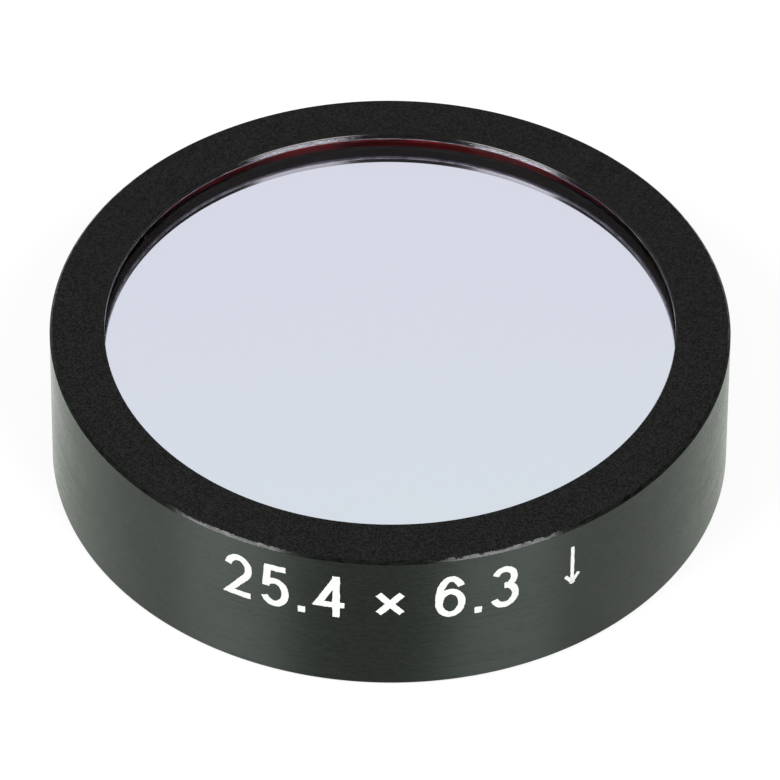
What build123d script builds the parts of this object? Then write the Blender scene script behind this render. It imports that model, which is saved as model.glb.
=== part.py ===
from build123d import *
import os

# Mounted optical bandpass filter, millimetres.
# The optical axis is Z. The rear face of the ring is z = 0, and the mirror side looks up along +Z.

# Housing ring, turned in one piece with a thin lip round the front aperture
ring_diameter = 25.4
ring_height = 6.3
ring_wall = 1.35
lip_thickness = 0.3
lip_width = 0.7
front_edge_break = 0.12
rear_edge_break = 0.15
lip_edge_break = 0.04
pocket_lead_in = 0.2

# Glass plates, round, with ground bevels on both face edges
glass_bevel = 0.12
cover_glass_thickness = 0.85
substrate_glass_thickness = 1.0
absorption_glass_thickness = 2.0

# Vacuum-deposited layer stacks and the clear cement between the plates
coating_thickness = 0.02
cement_thickness = 0.05

# Sealing compound between the edge of the glass stack and the wall of the pocket
seal_width = 0.15

# Retaining ring, slid in from the rear against the last plate
retaining_ring_wall = 0.68
retaining_ring_clearance = 0.02
retaining_ring_recess = 0.2
retaining_ring_edge_break = 0.1

# Radii, worked inwards from the outside of the ring
ring_radius = ring_diameter / 2
pocket_radius = ring_radius - ring_wall
aperture_radius = pocket_radius - lip_width
glass_radius = pocket_radius - seal_width
face_radius = glass_radius - glass_bevel
retaining_ring_radius = pocket_radius - retaining_ring_clearance

# Heights of the stack, downwards from the seat under the lip
seat_z = ring_height - lip_thickness
cover_glass_z = seat_z - cover_glass_thickness
blocking_coating_z = cover_glass_z - coating_thickness
front_cement_z = blocking_coating_z - cement_thickness
bandpass_coating_z = front_cement_z - coating_thickness
substrate_glass_z = bandpass_coating_z - substrate_glass_thickness
rear_cement_z = substrate_glass_z - cement_thickness
absorption_glass_z = rear_cement_z - absorption_glass_thickness

# Each entry is a name, the height of the lower face and the thickness
glass_plates = [
    ("cover_glass", cover_glass_z, cover_glass_thickness),
    ("substrate_glass", substrate_glass_z, substrate_glass_thickness),
    ("absorption_glass", absorption_glass_z, absorption_glass_thickness),
]
thin_layers = [
    ("blocking_coating", blocking_coating_z, coating_thickness),
    ("front_cement", front_cement_z, cement_thickness),
    ("bandpass_coating", bandpass_coating_z, coating_thickness),
    ("rear_cement", rear_cement_z, cement_thickness),
]

os.makedirs("parts", exist_ok=True)

# Housing ring: wall, pocket open to the rear, and the lip that the cover glass seats under
with BuildPart() as housing_ring:
    with BuildSketch(Plane.XZ):
        with BuildLine():
            Polyline(
                (aperture_radius, ring_height),
                (ring_radius, ring_height),
                (ring_radius, 0),
                (pocket_radius, 0),
                (pocket_radius, seat_z),
                (aperture_radius, seat_z),
                close=True,
            )
        make_face()
    revolve(axis=Axis.Z)
    ring_circles = housing_ring.edges().filter_by(GeomType.CIRCLE).group_by(Axis.Z)
    front_circles = ring_circles[-1].sort_by(SortBy.RADIUS)
    rear_circles = ring_circles[0].sort_by(SortBy.RADIUS)
    chamfer(front_circles[-1], length=front_edge_break)
    chamfer(front_circles[0], length=lip_edge_break)
    chamfer(rear_circles[-1], length=rear_edge_break)
    chamfer(rear_circles[0], length=pocket_lead_in)
housing_ring.part.label = "housing_ring"
export_step(housing_ring.part, "parts/housing_ring.step")

# Glass plates, each bevelled all round on both faces
for plate_name, plate_z, plate_thickness in glass_plates:
    with BuildPart() as plate:
        with BuildSketch(Plane.XY.offset(plate_z)):
            Circle(glass_radius)
        extrude(amount=plate_thickness)
        chamfer(plate.edges().filter_by(GeomType.CIRCLE), length=glass_bevel)
    plate.part.label = plate_name
    export_step(plate.part, f"parts/{plate_name}.step")

# Coatings and cement, which reach to where the bevels of the plates begin
for layer_name, layer_z, layer_thickness in thin_layers:
    with BuildPart() as layer:
        with BuildSketch(Plane.XY.offset(layer_z)):
            Circle(face_radius)
        extrude(amount=layer_thickness)
    layer.part.label = layer_name
    export_step(layer.part, f"parts/{layer_name}.step")

# Edge seal: its inner side follows the rims and bevels of the plates, and fills the grooves between them
seal_points = [(pocket_radius, absorption_glass_z), (pocket_radius, seat_z)]
for plate_name, plate_z, plate_thickness in glass_plates:
    plate_top_z = plate_z + plate_thickness
    seal_points += [
        (face_radius, plate_top_z),
        (glass_radius, plate_top_z - glass_bevel),
        (glass_radius, plate_z + glass_bevel),
        (face_radius, plate_z),
    ]
with BuildPart() as edge_seal:
    with BuildSketch(Plane.XZ):
        with BuildLine():
            Polyline(*seal_points, close=True)
        make_face()
    revolve(axis=Axis.Z)
edge_seal.part.label = "edge_seal"
export_step(edge_seal.part, "parts/edge_seal.step")

# Retaining ring: bears on the last plate and stays just inside the rear face
with BuildPart() as retaining_ring:
    with BuildSketch(Plane.XY.offset(retaining_ring_recess)):
        Circle(retaining_ring_radius)
        Circle(retaining_ring_radius - retaining_ring_wall, mode=Mode.SUBTRACT)
    extrude(amount=absorption_glass_z - retaining_ring_recess)
    rear_rims = retaining_ring.edges().filter_by(GeomType.CIRCLE).group_by(Axis.Z)[0]
    chamfer(rear_rims, length=retaining_ring_edge_break)
retaining_ring.part.label = "retaining_ring"
export_step(retaining_ring.part, "parts/retaining_ring.step")
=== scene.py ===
import math

import bmesh
import bpy
from mathutils import Matrix, Vector, noise


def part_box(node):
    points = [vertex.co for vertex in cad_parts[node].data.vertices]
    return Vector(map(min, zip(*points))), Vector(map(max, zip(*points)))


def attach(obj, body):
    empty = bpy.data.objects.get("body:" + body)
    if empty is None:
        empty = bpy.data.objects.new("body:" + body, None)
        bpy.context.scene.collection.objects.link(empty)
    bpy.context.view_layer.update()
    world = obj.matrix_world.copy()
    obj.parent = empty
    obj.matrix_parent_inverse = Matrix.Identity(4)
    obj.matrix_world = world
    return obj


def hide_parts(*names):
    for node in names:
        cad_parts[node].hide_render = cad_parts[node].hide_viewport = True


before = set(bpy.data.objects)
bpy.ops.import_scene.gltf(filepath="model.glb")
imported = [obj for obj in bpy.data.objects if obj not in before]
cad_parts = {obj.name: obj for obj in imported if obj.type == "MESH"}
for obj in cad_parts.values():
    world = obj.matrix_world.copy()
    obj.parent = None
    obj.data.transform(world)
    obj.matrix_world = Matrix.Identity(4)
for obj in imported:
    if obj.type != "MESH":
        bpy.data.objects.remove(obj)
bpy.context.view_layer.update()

# A mounted optical bandpass filter, metres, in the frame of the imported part.
# Z is the optical axis, the rear face of the ring is z = 0 and the mirror side looks up.

MM = 0.001
MICRON = 0.000001

# Sizes that the node boxes give
ring_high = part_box("housing_ring")[1]
cover_low, cover_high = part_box("cover_glass")
mirror_low, mirror_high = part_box("blocking_coating")
substrate_low, substrate_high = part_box("substrate_glass")
rear_cement_low, rear_cement_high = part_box("rear_cement")
red_low, red_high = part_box("absorption_glass")
seal_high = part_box("edge_seal")[1]
retainer_low, retainer_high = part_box("retaining_ring")
ring_radius = ring_high.x
ring_top = ring_high.z
pocket_radius = seal_high.x
glass_radius = cover_high.x
film_radius = mirror_high.x
seat_height = cover_high.z
retainer_radius = retainer_high.x

# Sizes of the openings and of the turned and ground edges
aperture_radius = 10.65 * MM
retainer_bore_radius = 10.65 * MM
front_edge_break = 0.12 * MM
rear_edge_break = 0.15 * MM
lip_edge_break = 0.04 * MM
pocket_lead_in = 0.2 * MM
retainer_edge_break = 0.1 * MM
glass_bevel = 0.12 * MM
edge_rounding = 0.012 * MM
worn_edge = 0.055 * MM
worn_strip = 0.03 * MM

# Pieces stop this far short of a neighbour, or sink this far into one that they are bonded to,
# so that no two faces lie on each other
air_gap = 3 * MICRON
bond_depth = 4 * MICRON

# The dressed wall lies this far inside the ring's radius.
# A white mark reaches from its own depth out to the radius.
wall_depth = 4 * MICRON
mark_depth = 20 * MICRON

# Flat stretches round a turned piece, and the angle from which an edge between faces counts as sharp
turning_steps = 360
sharp_angle = math.radians(20)

# Refractive index of the glass plates and the cement
glass_index = 1.52


# Shader maths

class Socket:
    """An output socket in a material's tree. Arithmetic on it adds Math nodes."""

    def __init__(self, tree, output=None):
        self.tree = tree
        self.output = output

    def node(self, kind, settings=None, sockets=None, take=0):
        """Adds a node, its settings first, then values or links of its sockets. Returns one output."""
        made = self.tree.nodes.new("ShaderNode" + kind)
        for name, value in (settings or {}).items():
            setattr(made, name, value)
        for key, value in (sockets or {}).items():
            if isinstance(value, Socket):
                self.tree.links.new(value.output, made.inputs[key])
            else:
                made.inputs[key].default_value = value
        return Socket(self.tree, made.outputs[take] if made.outputs else None)

    def maths(self, operation, *values):
        """A Math node on these values."""
        return self.node("Math", {"operation": operation}, dict(enumerate(values)))

    def __add__(self, other):
        return self.maths("ADD", self, other)

    def __radd__(self, other):
        return self.maths("ADD", other, self)

    def __sub__(self, other):
        return self.maths("SUBTRACT", self, other)

    def __rsub__(self, other):
        return self.maths("SUBTRACT", other, self)

    def __mul__(self, other):
        return self.maths("MULTIPLY", self, other)

    def __rmul__(self, other):
        return self.maths("MULTIPLY", other, self)

    def clamped(self):
        """This value, held between 0 and 1."""
        return self.maths("MAXIMUM", self.maths("MINIMUM", self, 1), 0)

    def between(self, low, high):
        """0 below low and 1 above high, with a soft step between."""
        settings = {"interpolation_type": "SMOOTHSTEP"}
        return self.node("MapRange", settings, {"Value": self, "From Min": low, "From Max": high})

    def mix(self, first, second):
        """The first colour where this mask is 0 and the second where it is 1."""
        return self.node("Mix", {"data_type": "RGBA"}, {0: self, 6: first, 7: second}, take=2)

    def stretched(self, factors):
        """This vector with each axis multiplied by its own factor."""
        return self.node("VectorMath", {"operation": "MULTIPLY"}, {0: self, 1: factors})

    def part(self, axis):
        """This vector's part along X, Y or Z, which are 0, 1 and 2."""
        return self.node("SeparateXYZ", None, {0: self}, take=axis)

    def noise(self, scale, detail, roughness):
        """Noise from 0 to 1 at this vector."""
        values = {"Vector": self, "Scale": scale, "Detail": detail, "Roughness": roughness}
        return self.node("TexNoise", {"noise_dimensions": "3D"}, values)


def new_finish(name):
    """A material with an empty tree, as (material, starting socket)."""
    material = bpy.data.materials.new(name)
    material.use_nodes = True
    material.node_tree.nodes.clear()
    return material, Socket(material.node_tree)


def place_in_millimetres(start):
    """The place on the piece, in millimetres."""
    place = start.node("TexCoord", take="Object")
    return place.node("VectorMath", {"operation": "SCALE"}, {0: place, "Scale": 1 / MM})


def grain_bump(start, height, distance):
    """A bumped normal, where a height of 1 stands this distance above a height of 0."""
    return start.node("Bump", None, {"Height": height, "Distance": distance})


def surface(start, **sockets):
    """A Principled surface with these sockets. The underscores in their names stand for spaces."""
    values = {name.replace("_", " "): value for name, value in sockets.items()}
    shader = start.node("BsdfPrincipled", None, values)
    start.node("OutputMaterial", None, {"Surface": shader})


# Finishes

# Nicks along the front edge, in millimetres: how far they wander, how far down they start
# and over what height they fade in
nick_reach = 0.34
nick_depth = 0.035
nick_fade = 0.02


def turned_finish(name, least_coat, most_coat, sheen, frayed_below=None):
    """Satin black anodising over the fine lines of turning, nicked just below the height frayed_below."""
    material, start = new_finish(name)
    place = place_in_millimetres(start)
    long_lines = place.stretched((0.06, 0.06, 10.0)).noise(1.0, 2.0, 0.6)
    short_lines = place.stretched((0.3, 0.3, 7.0)).noise(1.0, 2.0, 0.5)
    lines = long_lines * 0.65 + short_lines * 0.35
    bold_lines = lines.between(0.41, 0.59)
    blotches = place.noise(0.55, 3.0, 0.55)
    grain = place.stretched((2.6, 2.6, 11.0)).noise(1.0, 3.0, 0.75).between(0.42, 0.58)
    shade = (lines * 0.3 + blotches * 0.2 + grain * 0.5).between(0.2, 0.8)
    coat = least_coat + (bold_lines * 0.45 + grain * 0.55) * (most_coat - least_coat)
    roughness = 0.355 + blotches.between(0.35, 0.7) * 0.04 + bold_lines * 0.09 + grain * 0.08
    if frayed_below is not None:
        ragged_height = place.part(2) + (place.noise(2.6, 4.0, 0.65) - 0.5) * nick_reach
        nicks = ragged_height.between(frayed_below - nick_depth, frayed_below - nick_depth + nick_fade)
        coat = coat * (1 - nicks * 0.9)
        roughness = roughness + nicks * 0.35
    surface(
        start,
        Base_Color=shade.mix((0.0002, 0.0004, 0.0002, 1), (0.0070, 0.0080, 0.0066, 1)),
        Metallic=0.35 * (grain * 0.7 + bold_lines * 0.3),
        Roughness=roughness,
        Specular_IOR_Level=sheen,
        Specular_Tint=(0.82, 1.0, 0.90, 1),
        Anisotropic=1.0,
        Anisotropic_Rotation=0.25,
        Normal=grain_bump(start, lines, 0.006 * MM),
        Coat_Weight=coat,
        Coat_Roughness=0.13,
        Coat_IOR=1.42,
    )
    return material


def front_rim_finish():
    """Matt black anodising with a fine even grain."""
    material, start = new_finish("matt black anodised rim")
    place = place_in_millimetres(start)
    grain = place.noise(15.0, 2.0, 0.7)
    clouds = place.noise(0.6, 2.0, 0.5)
    surface(
        start,
        Base_Color=grain.between(0.38, 0.64).mix((0.0008, 0.0009, 0.0008, 1), (0.0115, 0.0121, 0.0112, 1)),
        Roughness=0.42 + clouds.between(0.35, 0.65) * 0.06,
        Specular_IOR_Level=0.09,
        Normal=grain_bump(start, grain, 0.004 * MM),
    )
    return material


def lip_wall_finish():
    """Smooth black anodising on the small bore through the lip."""
    material, start = new_finish("smooth black anodised lip")
    place = place_in_millimetres(start)
    lines = place.stretched((0.8, 0.8, 14.0)).noise(1.0, 2.0, 0.5)
    surface(
        start,
        Base_Color=lines.between(0.3, 0.7).mix((0.002, 0.002, 0.002, 1), (0.006, 0.005, 0.006, 1)),
        Roughness=0.14 + lines.between(0.35, 0.65) * 0.06,
        Specular_Tint=(1.0, 0.95, 0.94, 1),
        Normal=grain_bump(start, lines, 0.001 * MM),
    )
    return material


def worn_edge_finish():
    """Bare metal where a sharp edge has lost its anodising."""
    material, start = new_finish("worn bright edge")
    place = place_in_millimetres(start)
    wear = place.noise(2.5, 3.0, 0.6).between(0.35, 0.65)
    corner = (seat_height + worn_edge) / MM
    blend = 0.004
    chamfer = wear.mix((0.09, 0.08, 0.10, 1), (0.24, 0.22, 0.26, 1))
    strip = wear.mix((0.14, 0.12, 0.13, 1), (0.46, 0.41, 0.43, 1))
    surface(
        start,
        Base_Color=place.part(2).between(corner - blend, corner + blend).mix(chamfer, strip),
        Metallic=0.5,
        Roughness=0.45 + wear * 0.15,
    )
    return material


def inner_anodised_finish():
    """Plain black anodising inside the pocket and on the retaining ring."""
    material, start = new_finish("black anodised inside")
    place = place_in_millimetres(start)
    lines = place.stretched((0.5, 0.5, 9.0)).noise(1.0, 2.0, 0.5)
    surface(
        start,
        Base_Color=lines.between(0.3, 0.7).mix((0.007, 0.007, 0.006, 1), (0.013, 0.013, 0.012, 1)),
        Roughness=0.40 + lines.between(0.35, 0.65) * 0.10,
        Specular_IOR_Level=0.35,
        Normal=grain_bump(start, lines, 0.003 * MM),
    )
    return material


def clear_glass_finish(name, tint, coated_share=0.0):
    """Polished glass with faint smears. coated_share of its reflection is coated away."""
    material, start = new_finish(name)
    place = place_in_millimetres(start)
    smears = place.stretched((0.5, 1.1, 1.0)).noise(0.5, 4.0, 0.6)
    polish = smears.between(0.5, 0.8) * 0.006
    sockets = {"Base Color": tint, "Roughness": polish, "IOR": glass_index, "Transmission Weight": 1.0}
    glass = start.node("BsdfPrincipled", None, sockets)
    coated = start.node("BsdfRefraction", None, {"Color": tint, "Roughness": 0.0, "IOR": glass_index})
    mixed = start.node("MixShader", None, {0: coated_share, 1: glass, 2: coated})
    start.node("OutputMaterial", None, {"Surface": mixed})
    return material


# How fast a mirror's colour goes from its far tint to its near one, a painted tint that stands in for the
# shift of the reflection's colour with viewing angle
painted_tint_per_millimetre = 0.045


def mirror_finish(name, far_colour, near_colour):
    """A smooth reflecting layer stack, whose colour drifts across it along Y in a painted tint that stands
    in for the shift of the reflection's colour with viewing angle, with slow random patches.
    """
    material, start = new_finish(name)
    place = place_in_millimetres(start)
    # Painted reflection tint: the colour changes along Y from the far side to the near side in place of the
    # angle-dependent colour of the reflection, and noise adds slow random patches
    painted_angle_tint_and_patches = 0.5 - place.part(1) * painted_tint_per_millimetre + (place.noise(0.06, 1.0, 0.4) - 0.5) * 0.6
    grain = (place.noise(10.0, 2.0, 0.6) - 0.5) * 1.6
    haze = place.noise(3.0, 3.0, 0.6)
    surface(
        start,
        Base_Color=(painted_angle_tint_and_patches + grain).clamped().mix(far_colour, near_colour),
        Metallic=1.0,
        Roughness=0.02 + haze.between(0.4, 0.75) * 0.01,
    )
    return material


def cement_finish():
    """Clear cured cement with a faint straw tint."""
    material, start = new_finish("optical cement")
    place = place_in_millimetres(start)
    flow = place.noise(0.8, 2.0, 0.5)
    surface(
        start,
        Base_Color=flow.between(0.3, 0.7).mix((0.96, 0.95, 0.90, 1), (0.99, 0.98, 0.94, 1)),
        Roughness=0.02,
        IOR=glass_index,
        Transmission_Weight=1.0,
    )
    return material


def seal_finish():
    """Cured sealing compound, painted dark red for the red light that comes out through the plates' edges,
    uneven where it was run in, and painted near black for the shade in the groove under the lip.
    """
    material, start = new_finish("sealing compound with painted red glow and shade")
    place = place_in_millimetres(start)
    runs = place.noise(0.35, 2.0, 0.5)
    grain = place.noise(6.0, 3.0, 0.6)
    shade = (runs * 0.7 + grain * 0.3).between(0.38, 0.62)
    # Painted glow: this red stands in for red light from the red glass that comes out at the plates' edges
    red = shade.mix((0.15, 0.007, 0.009, 1), (0.36, 0.012, 0.015, 1))
    # Painted shade: from this height up, under the lip, the seal is painted near black
    painted_shade_start = (cover_high.z - glass_bevel) / MM
    fade = 0.05
    surface(
        start,
        Base_Color=place.part(2).between(painted_shade_start - fade, painted_shade_start).mix(red, (0.020, 0.018, 0.016, 1)),
        Roughness=0.30 + grain.between(0.3, 0.7) * 0.20,
        Specular_IOR_Level=0.25,
        Normal=grain_bump(start, grain, 0.01 * MM),
    )
    return material


def mark_finish():
    """White laser mark: the bared metal oxide, slightly mottled."""
    material, start = new_finish("white laser mark")
    place = place_in_millimetres(start)
    mottle = place.noise(12.0, 3.0, 0.6)
    surface(
        start,
        Base_Color=mottle.between(0.3, 0.7).mix((0.62, 0.64, 0.61, 1), (0.74, 0.75, 0.73, 1)),
        Roughness=0.55 + mottle.between(0.3, 0.7) * 0.15,
        Normal=grain_bump(start, mottle, 0.01 * MM),
    )
    return material


# Making meshes

def turned(name, outline, finishes, spans=None):
    """A closed outline of (radius, height) points revolved about Z.

    spans gives each stretch's place in finishes.
    """
    mesh = bpy.data.meshes.new(name)
    made = bmesh.new()
    loops = []
    for radius, height in outline:
        if radius == 0:
            centre = made.verts.new((0, 0, height))
            loops.append([centre] * turning_steps)
            continue
        loop = []
        for step in range(turning_steps):
            angle = 2 * math.pi * step / turning_steps
            loop.append(made.verts.new((radius * math.cos(angle), radius * math.sin(angle), height)))
        loops.append(loop)
    for stretch, low in enumerate(loops):
        high = loops[(stretch + 1) % len(loops)]
        for step in range(turning_steps):
            beside = (step + 1) % turning_steps
            corners = list(dict.fromkeys([low[step], low[beside], high[beside], high[step]]))
            if len(corners) < 3:
                continue
            face = made.faces.new(corners)
            face.material_index = spans[stretch] if spans else 0
    bmesh.ops.recalc_face_normals(made, faces=made.faces)
    made.to_mesh(mesh)
    made.free()
    mesh.shade_smooth()
    mesh.set_sharp_from_angle(angle=sharp_angle)
    piece = bpy.data.objects.new(name, mesh)
    bpy.context.scene.collection.objects.link(piece)
    for finish in finishes:
        mesh.materials.append(finish)
    return piece


def eased(piece, width):
    """Rounds the piece's sharp edges a little."""
    bevel = piece.modifiers.new("edge rounding", "BEVEL")
    bevel.width = width
    bevel.segments = 2
    bevel.limit_method = "ANGLE"
    bevel.angle_limit = sharp_angle
    bevel.harden_normals = False
    return piece


def stands_for(piece, node):
    """Shows the piece in place of a node of the part, on the fixed body."""
    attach(piece, "root")
    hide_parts(node)


def plate_outline(low, high, radius, bevel):
    """A round plate with a bevel at both faces."""
    return [
        (0, low),
        (radius - bevel, low),
        (radius, low + bevel),
        (radius, high - bevel),
        (radius - bevel, high),
        (0, high),
    ]


def disc_outline(low, high, radius):
    """A thin round layer."""
    return [(0, low), (radius, low), (radius, high), (0, high)]


# The pieces

def make_housing_ring():
    """The ring in one piece, with a finish for each surface. Its lip is worn bright at the lower corner."""
    wall_radius = ring_radius - wall_depth
    outline = [
        (aperture_radius, seat_height + worn_edge),
        (aperture_radius, seat_height + worn_edge + worn_strip),
        (aperture_radius, ring_top - lip_edge_break),
        (aperture_radius + lip_edge_break, ring_top),
        (ring_radius - front_edge_break, ring_top),
        (wall_radius, ring_top - front_edge_break),
        (wall_radius, rear_edge_break),
        (ring_radius - rear_edge_break, 0),
        (pocket_radius + pocket_lead_in, 0),
        (pocket_radius, pocket_lead_in),
        (pocket_radius, seat_height),
        (aperture_radius + worn_edge, seat_height),
    ]
    wall, edge, rim, lip, worn, inside = range(6)
    spans = [worn, lip, lip, rim, edge, wall, edge, rim, inside, inside, inside, worn]
    finishes = [
        turned_finish("turned black anodised wall", 0.52, 1.0, 0.75),
        turned_finish("turned black anodised edge", 0.24, 0.66, 0.18, ring_top / MM),
        front_rim_finish(),
        lip_wall_finish(),
        worn_edge_finish(),
        inner_anodised,
    ]
    piece = eased(turned("anodised_ring", outline, finishes, spans), edge_rounding)
    stands_for(piece, "housing_ring")


def make_retaining_ring():
    """The plain ring that holds the plates from the rear."""
    outline = [
        (retainer_bore_radius, retainer_low.z + retainer_edge_break),
        (retainer_bore_radius + retainer_edge_break, retainer_low.z),
        (retainer_radius - retainer_edge_break, retainer_low.z),
        (retainer_radius, retainer_low.z + retainer_edge_break),
        (retainer_radius, retainer_high.z - air_gap),
        (retainer_bore_radius, retainer_high.z - air_gap),
    ]
    piece = eased(turned("rear_retaining_ring", outline, [inner_anodised]), edge_rounding)
    stands_for(piece, "retaining_ring")


def make_cover_glass():
    """The clear front plate, whose coating leaves it little reflection of its own."""
    outline = plate_outline(cover_low.z - bond_depth, seat_height - air_gap, glass_radius, glass_bevel)
    clear = clear_glass_finish("clear cover glass", (0.985, 0.99, 0.99, 1), 0.8)
    piece = turned("front_cover_glass", outline, [clear])
    stands_for(piece, "cover_glass")


def make_mirror():
    """The layer stack on the inner face of the front plate."""
    outline = disc_outline(mirror_low.z, mirror_high.z, film_radius)
    finish = mirror_finish("violet blue mirror stack", (0.70, 0.70, 0.81, 1), (0.685, 0.737, 0.803, 1))
    piece = turned("front_mirror_film", outline, [finish])
    stands_for(piece, "blocking_coating")


def make_edge_seal():
    """The bead of compound round the plates, which follows their rims and bevels."""
    inner_radius = glass_radius - bond_depth
    plates = [(red_low.z, red_high.z), (substrate_low.z, substrate_high.z), (cover_low.z, cover_high.z)]
    outer_radius = pocket_radius - air_gap
    outline = [(outer_radius, cover_high.z - air_gap), (outer_radius, red_low.z + air_gap)]
    for low, high in plates:
        outline += [
            (inner_radius - glass_bevel, low + air_gap),
            (inner_radius, low + glass_bevel),
            (inner_radius, high - glass_bevel),
            (inner_radius - glass_bevel, high - air_gap),
        ]
    piece = turned("edge_sealing_bead", outline, [seal_finish()])
    stands_for(piece, "edge_seal")


def make_red_glass():
    """The absorption glass, which shows from the rear."""
    outline = plate_outline(red_low.z, red_high.z - air_gap, glass_radius, glass_bevel)
    red = clear_glass_finish("deep red glass", (0.55, 0.008, 0.010, 1))
    piece = turned("rear_red_glass", outline, [red])
    stands_for(piece, "absorption_glass")


def make_rear_stack():
    """The middle plate and the cement between it and the red glass."""
    cement = turned(
        "rear_cement_film",
        disc_outline(rear_cement_low.z, rear_cement_high.z - air_gap, film_radius),
        [cement_finish()],
    )
    stands_for(cement, "rear_cement")
    plate = turned(
        "middle_glass_plate",
        plate_outline(substrate_low.z, substrate_high.z - air_gap, glass_radius, glass_bevel),
        [clear_glass_finish("middle plate glass", (0.96, 0.98, 0.96, 1))],
    )
    stands_for(plate, "substrate_glass")


def dress_node(node, finish):
    """Gives a CAD node that stays as it is its own finish."""
    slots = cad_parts[node].material_slots
    for slot in slots:
        slot.material = finish


# White marks on the wall. Each stroke of a sign lies a stroke step deeper than the one before.

number_signs = "25.4 x 6.3"
number_height = 2.06 * MM
stroke_step = 0.4 * MICRON
number_top = ring_top - 0.86 * MM
number_middle = math.radians(-3.0)
arrow_angle = math.radians(32.0)
arrow_top = ring_top - 1.0 * MM
arrow_length = 1.9 * MM
arrow_stroke = 0.15 * MM
arrow_head_width = 0.68 * MM
arrow_head_height = 0.46 * MM
bend_step = 0.12 * MM
fraying = 0.022 * MM
fraying_size = 0.09 * MM
fraying_seed = 7

# Degrees from point to point of a bow, and the share at which the mitre of a sharp turn is cut short
bow_step = 12
shortest_mitre = 0.5

# The same ragged edges each time
noise.seed_set(fraying_seed)


def wrapped(name, flat, middle_angle, finish):
    """Bends a flat mesh in X and Z on to the wall, as a thin closed skin with frayed edges."""
    around = Vector((1, 0, 0))
    up = Vector((0, 0, 1))
    for axis in (around, up):
        reaches = [vertex.co.dot(axis) for vertex in flat.verts]
        cut = math.ceil(min(reaches) / bend_step) * bend_step
        while cut < max(reaches):
            geometry = flat.verts[:] + flat.edges[:] + flat.faces[:]
            bmesh.ops.bisect_plane(flat, geom=geometry, plane_co=axis * cut, plane_no=axis)
            cut += bend_step
    for vertex in flat.verts:
        shift = noise.noise_vector(vertex.co / fraying_size) * fraying
        vertex.co += Vector((shift.x, 0, shift.z))
    bmesh.ops.recalc_face_normals(flat, faces=flat.faces)
    flat.normal_update()
    front = flat.faces[:]
    if sum(face.normal.y * face.calc_area() for face in front) > 0:
        bmesh.ops.reverse_faces(flat, faces=front)
    grown = bmesh.ops.extrude_face_region(flat, geom=front)
    for item in grown["geom"]:
        if isinstance(item, bmesh.types.BMVert):
            item.co.y -= mark_depth
    for vertex in flat.verts:
        radius = ring_radius - mark_depth - vertex.co.y
        angle = middle_angle + vertex.co.x / ring_radius
        vertex.co = (radius * math.sin(angle), -radius * math.cos(angle), vertex.co.z)
    bmesh.ops.recalc_face_normals(flat, faces=flat.faces)
    mesh = bpy.data.meshes.new(name)
    flat.to_mesh(mesh)
    flat.free()
    piece = bpy.data.objects.new(name, mesh)
    bpy.context.scene.collection.objects.link(piece)
    mesh.materials.append(finish)
    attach(piece, "root")


def bow(centre, width, height, first, last):
    """Points on an ellipse of this half width and half height, from one angle to another in degrees."""
    steps = max(2, math.ceil(abs(last - first) / bow_step))
    angles = [math.radians(first + (last - first) * step / steps) for step in range(steps + 1)]
    return [(centre[0] + width * math.cos(angle), centre[1] + height * math.sin(angle)) for angle in angles]


# Each sign's width and the middle lines of its strokes, all in heights of a numeral
number_stroke = 0.132
number_gap = 0.14
half_stroke = number_stroke / 2
numeral_top = 1 - half_stroke
numerals = {
    "2": (0.56, [
        bow((0.28, 0.68), 0.20, numeral_top - 0.68, 168, -38) + [(0.09, half_stroke), (0.52, half_stroke)],
    ]),
    "3": (0.56, [
        bow((0.27, 0.73), 0.18, numeral_top - 0.73, 158, -90),
        bow((0.27, 0.305), 0.205, 0.305 - half_stroke, 90, -160),
    ]),
    "4": (0.58, [[(0.41, 0), (0.41, 1)], [(0.41, numeral_top), (0.08, 0.30), (0.56, 0.30)]]),
    "5": (0.56, [
        [(0.49, numeral_top), (0.15, numeral_top), (0.115, 0.47)],
        bow((0.275, 0.345), 0.205, 0.345 - half_stroke, 140, -155),
    ]),
    "6": (0.57, [
        bow((0.30, 0.48), 0.22, numeral_top - 0.48, 35, 195),
        bow((0.285, 0.345), 0.205, 0.345 - half_stroke, 0, 360),
    ]),
    ".": (0.16, [[(0.08, 0), (0.08, number_stroke * 1.1)]]),
    "x": (0.54, [[(0.06, 0.17), (0.48, 0.63)], [(0.06, 0.63), (0.48, 0.17)]]),
    " ": (0.24, []),
}


def add_stroke(flat, middle_line, width, depth):
    """A ribbon of this width along a line of (x, z) points, mitred where the line turns."""
    points = [Vector(point) for point in middle_line]
    runs = [(after - before).normalized() for before, after in zip(points, points[1:])]
    sides = []
    for place, point in enumerate(points):
        before = runs[max(place - 1, 0)]
        after = runs[min(place, len(runs) - 1)]
        along = (before + after).normalized()
        across = Vector((-along.y, along.x)) * width / 2 / max(along.dot(after), shortest_mitre)
        sides.append([flat.verts.new((end.x, depth, end.y)) for end in (point - across, point + across)])
    for (low, high), (next_low, next_high) in zip(sides, sides[1:]):
        flat.faces.new([low, next_low, next_high, high])


def make_number_mark(finish):
    """The ring's own diameter and height as plain numbers."""
    flat = bmesh.new()
    widths = [numerals[sign][0] for sign in number_signs]
    start = -(sum(widths) + number_gap * (len(number_signs) - 1)) / 2
    foot = number_top - number_height
    for sign, width in zip(number_signs, widths):
        for order, stroke in enumerate(numerals[sign][1]):
            line = [((start + x) * number_height, foot + z * number_height) for x, z in stroke]
            add_stroke(flat, line, number_stroke * number_height, order * stroke_step)
        start += width + number_gap
    wrapped("number_mark", flat, number_middle, finish)


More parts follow.
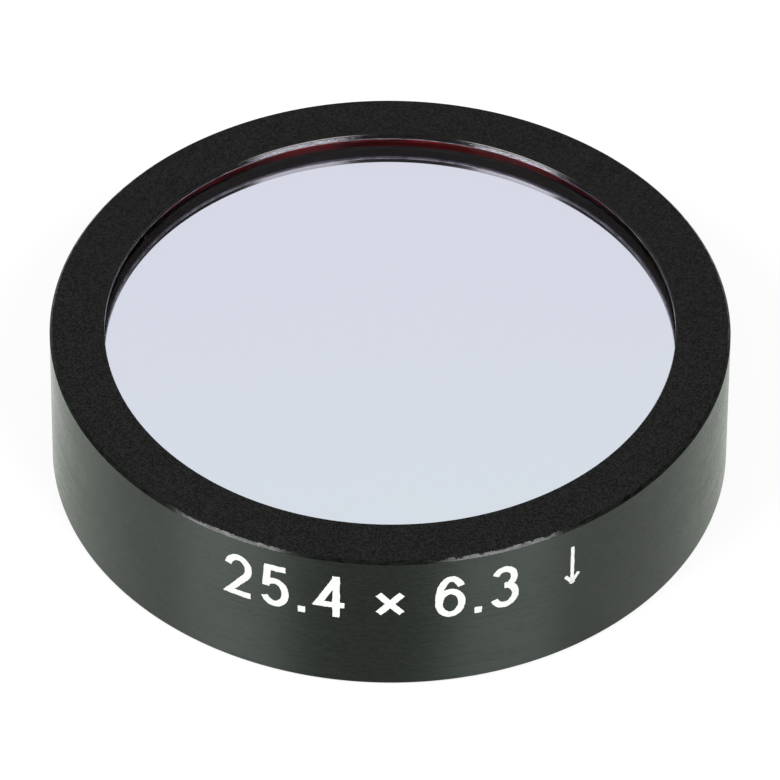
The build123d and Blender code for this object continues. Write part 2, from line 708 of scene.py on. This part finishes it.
def make_arrow_mark(finish):
    """The arrow that shows which way the light goes through."""
    flat = bmesh.new()
    half = arrow_stroke / 2
    foot = arrow_top - arrow_length
    slope = math.atan2(arrow_head_height, arrow_head_width / 2)
    shaft = [(-half, arrow_top), (half, arrow_top), (half, foot + half), (0, foot), (-half, foot + half)]
    flat.faces.new([flat.verts.new((x, 0, z)) for x, z in shaft])
    for side in (-1, 1):
        along = Vector((side * math.cos(slope), 0, math.sin(slope)))
        across = Vector((-side * math.sin(slope), 0, math.cos(slope))) * arrow_stroke
        tip = Vector((0, 0, foot))
        reach = math.hypot(arrow_head_height, arrow_head_width / 2)
        barb = [tip, tip + along * reach, tip + along * reach + across, tip + across]
        flat.faces.new([flat.verts.new(corner) for corner in barb])
    wrapped("arrow_mark", flat, arrow_angle, finish)


inner_anodised = inner_anodised_finish()
make_housing_ring()
make_retaining_ring()
make_cover_glass()
make_mirror()
make_edge_seal()
make_red_glass()
make_rear_stack()
band_stack = mirror_finish("blue green mirror stack", (0.55, 0.75, 0.78, 1), (0.62, 0.80, 0.74, 1))
dress_node("bandpass_coating", band_stack)
dress_node("front_cement", cement_finish())
white_mark = mark_finish()
make_number_mark(white_mark)
make_arrow_mark(white_mark)


# Camera, at the photograph's viewing angle

image_side = 780
sensor_width = 36.0
focal_pixels = 9554.5
camera_distance = 356.18 * MM
camera_elevation = math.radians(43.333)
camera_roll = math.radians(0.386)
nearest_seen = 0.01
farthest_seen = 10

# The pixel where the middle of the front face lies
front_face_pixel = (389.73, 324.79)


def make_camera():
    """A long lens that looks along Y and down on the front face."""
    forward = Vector((0, math.cos(camera_elevation), -math.sin(camera_elevation)))
    right = Vector((1, 0, 0))
    up = right.cross(forward)
    metres_per_pixel = camera_distance / focal_pixels
    place = Vector((0, 0, ring_top)) - forward * camera_distance
    place -= right * (front_face_pixel[0] - image_side / 2) * metres_per_pixel
    place += up * (front_face_pixel[1] - image_side / 2) * metres_per_pixel
    cosine, sine = math.cos(camera_roll), math.sin(camera_roll)
    rolled_right = right * cosine + up * sine
    rolled_up = up * cosine - right * sine
    turn = Matrix((rolled_right, rolled_up, -forward)).transposed()
    data = bpy.data.cameras.new("camera")
    data.sensor_width = sensor_width
    data.lens = focal_pixels / image_side * sensor_width
    data.clip_start = nearest_seen
    data.clip_end = farthest_seen
    camera = bpy.data.objects.new("camera", data)
    camera.matrix_world = Matrix.Translation(place) @ turn.to_4x4()
    bpy.context.scene.collection.objects.link(camera)
    bpy.context.scene.camera = camera


# Floor and light. Azimuths are in degrees: 0 is the camera's side, and they grow to the right.

floor_side = 3.0
floor_drop = 2 * MICRON
paper_white = 0.80
floor_glow = 0.80

# The floor is left out under the object, as far as the ring's rear rim
floor_hole = pocket_radius + 0.4 * MM
floor_hole_fade = 0.1 * MM

# The floor that the turned wall mirrors: shaded on the camera's side, lit beside it and bright
# behind the object
shaded_floor = (0.34, 0.36, 0.33, 1)
lit_floor = (0.68, 0.72, 0.66, 1)
bright_floor = (0.95, 1.0, 0.93, 1)
shaded_to_lit = (8, 50)
bright_middle = 15
lit_to_bright = (85, 145)

# The room that lights the object, the one that polished faces mirror, and the one that the mirror shows
room_light = 0.35
dark_room = 0.10
low_backdrop = 0.30
backdrop_middle = 12
dark_to_backdrop = (90, 165)
low_to_high_backdrop = (0.40, 0.60)
dim_room = 0.26
dim_to_white = (158, 172)
dim_band_foot = (0.34, 0.47)
dim_band_top = (0.85, 0.92)

box_distance = 0.45
box_elevation = math.radians(43)
box_power = 1.7


def grey(level):
    """A grey colour."""
    return (level, level, level, 1)


def away_from(place, azimuth, swings):
    """0 up to the first swing either side of an azimuth, and 1 from the second swing on."""
    side = place.part(0)
    front = 0 - place.part(1)
    swing = place.maths("ABSOLUTE", place.maths("ARCTAN2", side, front) - math.radians(azimuth))
    return swing.between(*map(math.radians, swings))


def make_floor():
    """A white sweep that shows only from above and round the object, so that its rear shows from below."""
    mesh = bpy.data.meshes.new("floor")
    half = floor_side / 2
    corners = [(-half, -half), (half, -half), (half, half), (-half, half)]
    mesh.from_pydata([(x, y, -floor_drop) for x, y in corners], [], [(0, 1, 2, 3)])
    floor = bpy.data.objects.new("floor", mesh)
    bpy.context.scene.collection.objects.link(floor)
    material, start = new_finish("white sweep")
    paper = start.node("BsdfDiffuse", None, {"Color": grey(paper_white)})
    pale = start.node("BsdfDiffuse", None, {"Color": grey(1 - floor_glow)})
    glow = start.node("Emission", None, {"Color": grey(1), "Strength": floor_glow})
    white = start.node("AddShader", None, {0: pale, 1: glow})
    place = start.node("TexCoord", take="Object")
    side_light = away_from(place, 0, shaded_to_lit)
    back_light = away_from(place, bright_middle, lit_to_bright)
    colour = back_light.mix(side_light.mix(shaded_floor, lit_floor), bright_floor)
    mirrored = start.node("Emission", None, {"Color": colour, "Strength": 1.0})
    camera_ray = start.node("LightPath", take="Is Camera Ray")
    glossy_ray = start.node("LightPath", take="Is Glossy Ray")
    through_ray = start.node("LightPath", take="Is Transmission Ray")
    seen = (camera_ray + through_ray).clamped()
    plain = start.node("MixShader", None, {0: seen, 1: paper, 2: white})
    upper_side = start.node("MixShader", None, {0: glossy_ray * (1 - seen), 1: plain, 2: mirrored})
    below = start.node("NewGeometry", take="Backfacing")
    away = place.node("VectorMath", {"operation": "LENGTH"}, {0: place}, take="Value")
    under = 1 - away.between(floor_hole, floor_hole + floor_hole_fade)
    hidden = below.maths("MAXIMUM", below, under)
    shader = start.node("MixShader", None, {0: hidden, 1: upper_side, 2: start.node("BsdfTransparent")})
    start.node("OutputMaterial", None, {"Surface": shader})
    mesh.materials.append(material)


def make_world():
    """A room that the camera sees white, with darker parts that the black ring and the mirror show."""
    world = bpy.data.worlds.new("white room")
    world.use_nodes = True
    world.node_tree.nodes.clear()
    start = Socket(world.node_tree)
    camera_ray = start.node("LightPath", take="Is Camera Ray")
    glossy_ray = start.node("LightPath", take="Is Glossy Ray")
    through_ray = start.node("LightPath", take="Is Transmission Ray")
    towards = start.node("TexCoord", take="Generated")
    backdrop = away_from(towards, backdrop_middle, dark_to_backdrop)
    height = towards.part(2)
    white = grey(1)
    behind = height.between(*low_to_high_backdrop).mix(grey(low_backdrop), white)
    colour = glossy_ray.mix(grey(room_light), backdrop.mix(grey(dark_room), behind))
    opposite = away_from(towards, 0, dim_to_white)
    band = height.between(*dim_band_foot) * (1 - height.between(*dim_band_top))
    clear = opposite.maths("MAXIMUM", opposite, 1 - band)
    colour = through_ray.mix(colour, clear.mix(grey(dim_room), white))
    colour = camera_ray.mix(colour, white)
    shader = start.node("Background", None, {"Color": colour, "Strength": 1.0})
    start.node("OutputWorld", None, {"Surface": shader})
    bpy.context.scene.world = world


def make_softbox(name, azimuth, width, height):
    """A softbox at this azimuth, turned to the front face."""
    turn = math.radians(azimuth)
    level = math.cos(box_elevation)
    back = Vector((math.sin(turn) * level, -math.cos(turn) * level, math.sin(box_elevation)))
    data = bpy.data.lights.new(name, "AREA")
    data.shape = "RECTANGLE"
    data.size = width
    data.size_y = height
    data.energy = box_power
    lamp = bpy.data.objects.new(name, data)
    lamp.location = Vector((0, 0, ring_top)) + back * box_distance
    lamp.rotation_mode = "QUATERNION"
    lamp.rotation_quaternion = (-back).to_track_quat("-Z", "Y")
    bpy.context.scene.collection.objects.link(lamp)


make_camera()
make_floor()
make_world()
make_softbox("right softbox", 38, 0.22, 0.20)
make_softbox("left softbox", -53, 0.21, 0.20)
bpy.context.scene.view_settings.view_transform = "Standard"
